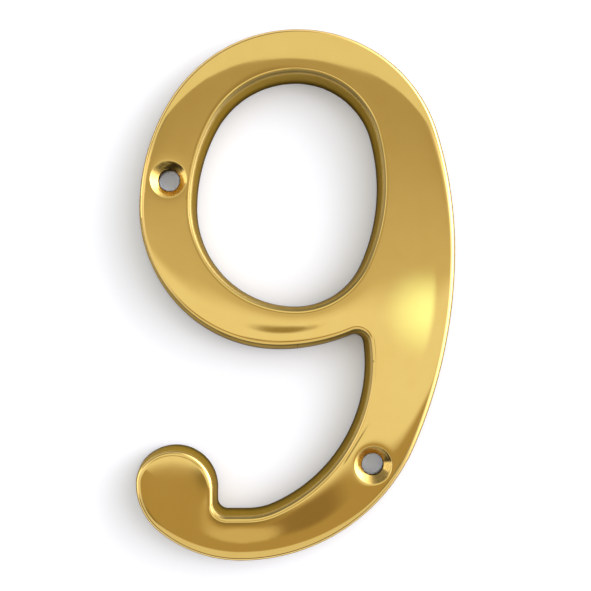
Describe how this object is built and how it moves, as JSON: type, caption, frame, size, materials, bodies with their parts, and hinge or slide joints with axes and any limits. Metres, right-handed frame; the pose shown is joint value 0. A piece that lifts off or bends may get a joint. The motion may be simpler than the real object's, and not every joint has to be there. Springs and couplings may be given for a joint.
{
  "type": "door number",
  "caption": "Cast brass figure nine for a door, with a flat back, drafted sides, a softly crowned face and countersunk screw holes.",
  "frame": {"origin": "middle of the flat back's bounding box, on the back", "axes": "+Y up the figure, +X to its right as it is read, +Z out of its face"},
  "size_m": [0.0612, 0.1016, 0.0063],
  "materials": {
    "brass": "polished"
  },
  "bodies": {
    "root": {"numeral_nine": "brass"}
  },
  "joints": []
}
